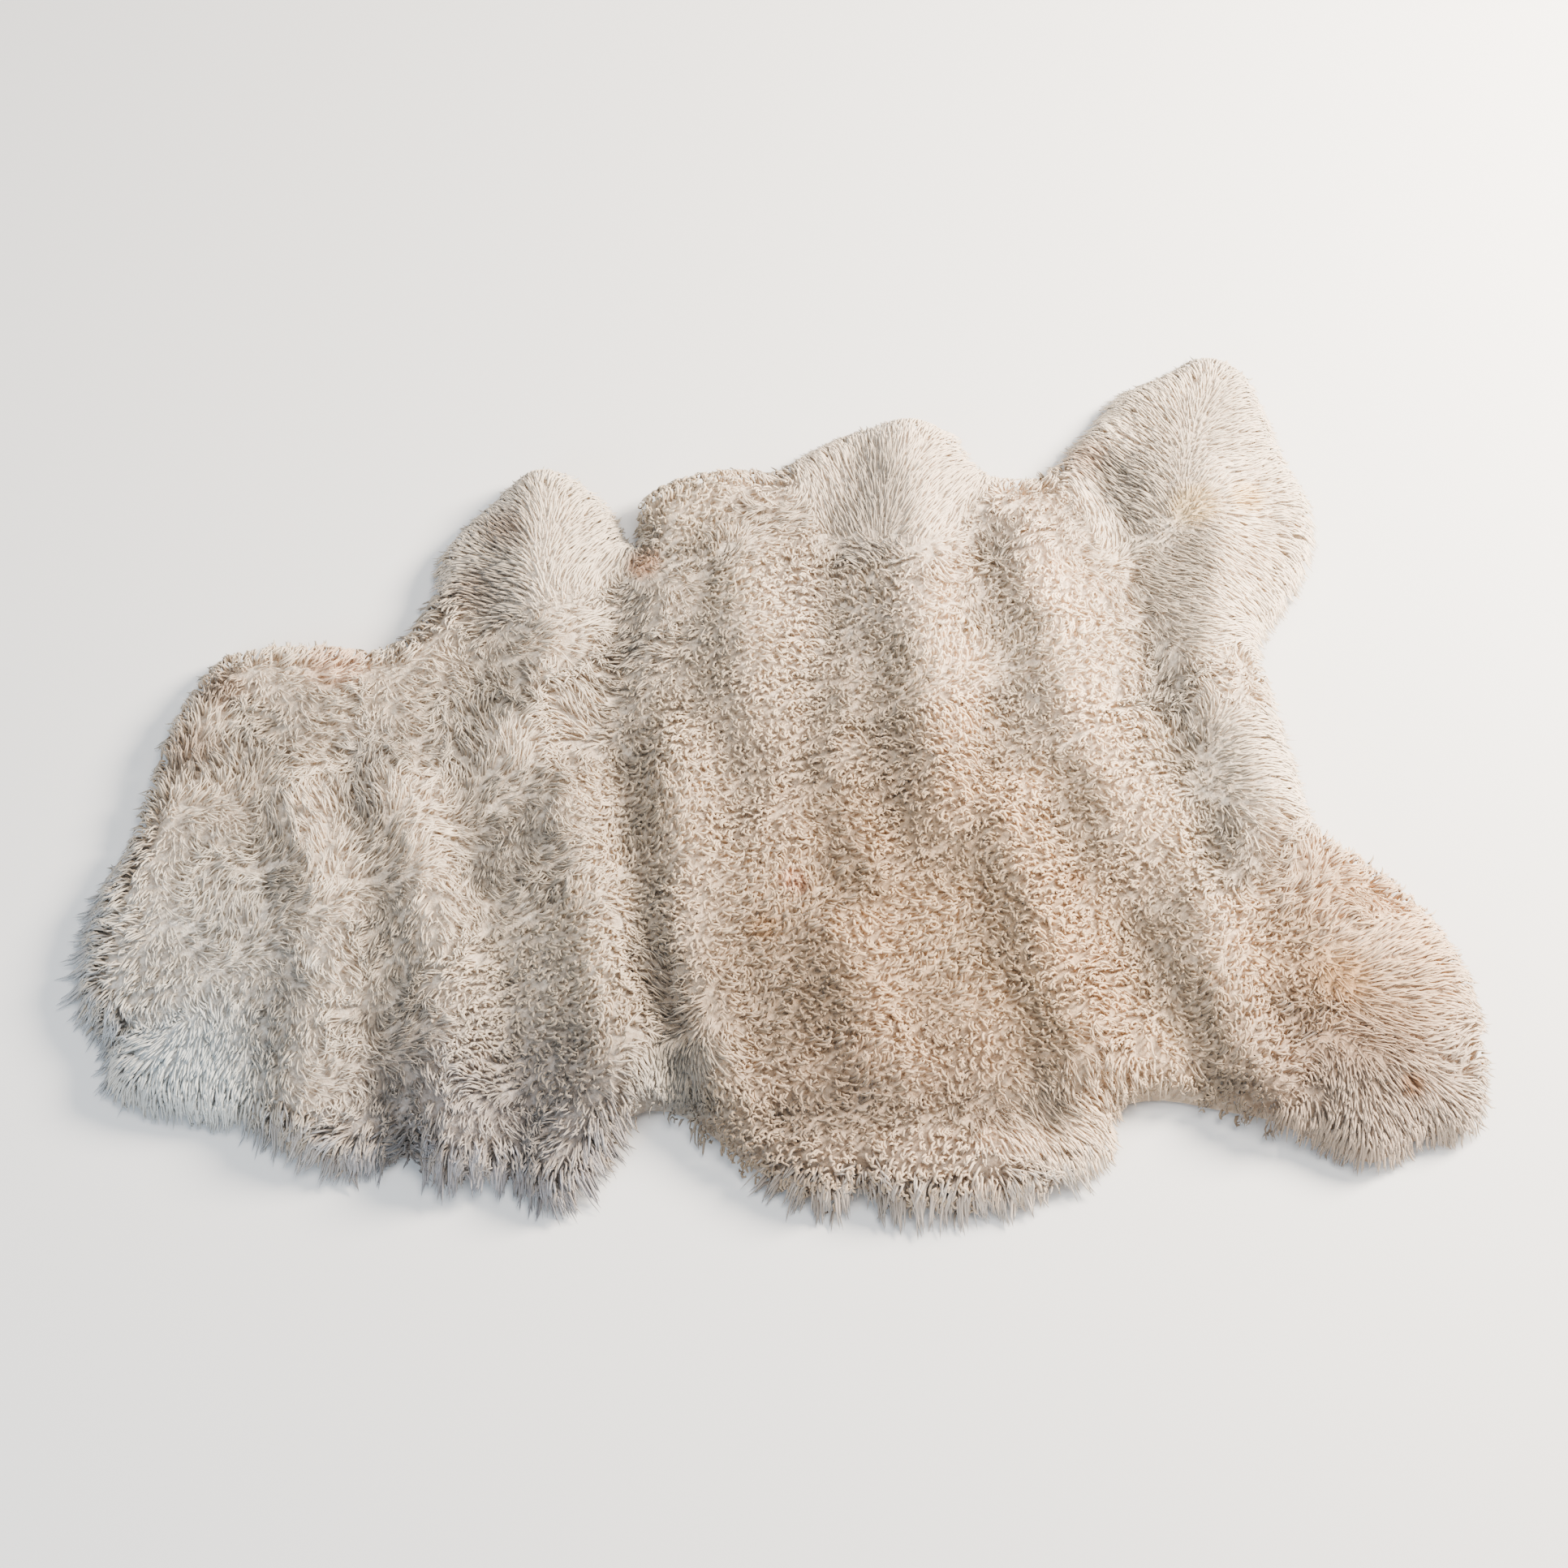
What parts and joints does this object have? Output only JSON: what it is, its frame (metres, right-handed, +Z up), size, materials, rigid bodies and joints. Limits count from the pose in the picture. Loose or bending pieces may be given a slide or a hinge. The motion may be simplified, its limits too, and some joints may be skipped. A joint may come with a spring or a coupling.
{
  "type": "sheepskin rug",
  "caption": "Natural-shape sheepskin rug lying flat with its cream curly wool up; the pelt keeps its leg, belly and neck lobes and low skin folds.",
  "frame": {"origin": "middle of the rug's box, on the floor under it", "axes": "+X along the pelt from the rump to the neck, +Y across it towards the far side, +Z up out of the wool"},
  "size_m": [1.085, 0.77, 0.0495],
  "materials": {
    "wool": "undyed cream-beige curly wool, matt, 35-45 mm long, with warmer and cooler patches",
    "skin": "tanned suede flesh side of the pelt, matt pale tan"
  },
  "bodies": {
    "root": {"sheepskin": "wool"}
  },
  "joints": []
}
